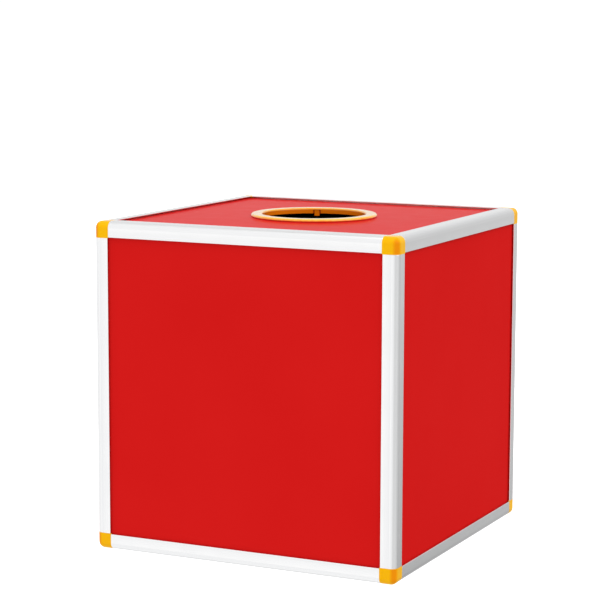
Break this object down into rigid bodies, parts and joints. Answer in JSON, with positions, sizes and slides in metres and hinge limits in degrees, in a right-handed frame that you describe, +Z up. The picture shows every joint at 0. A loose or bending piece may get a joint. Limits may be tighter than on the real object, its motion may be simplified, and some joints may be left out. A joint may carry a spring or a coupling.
{
  "type": "raffle box",
  "caption": "Closed cube-shaped draw box of plain panels held by rounded edge rails and corner blocks, with a round hand hole and ring in its top.",
  "frame": {"origin": "on the floor below the middle of the box, level with the underside of the lower rails", "axes": "+X to the right and +Y to the back as seen from the front panel, +Z up along the hand hole's axis"},
  "size_m": [0.296, 0.296, 0.3007],
  "materials": {
    "rail": "satin anodised",
    "corner": "glossy moulded",
    "panel": "smooth satin gloss",
    "ring": "glossy moulded"
  },
  "bodies": {
    "root": {"rail_top_front": "rail", "rail_top_back": "rail", "rail_top_left": "rail", "rail_top_right": "rail", "rail_bottom_front": "rail", "rail_bottom_back": "rail", "rail_bottom_left": "rail", "rail_bottom_right": "rail", "post_front_left": "rail", "post_front_right": "rail", "post_back_left": "rail", "post_back_right": "rail", "corner_top_front_left": "corner", "corner_top_front_right": "corner", "corner_top_back_left": "corner", "corner_top_back_right": "corner", "corner_bottom_front_left": "corner", "corner_bottom_front_right": "corner", "corner_bottom_back_left": "corner", "corner_bottom_back_right": "corner", "panel_front": "panel", "panel_back": "panel", "panel_left": "panel", "panel_right": "panel", "panel_top": "panel", "panel_bottom": "panel", "hand_hole_ring": "ring"}
  },
  "joints": []
}
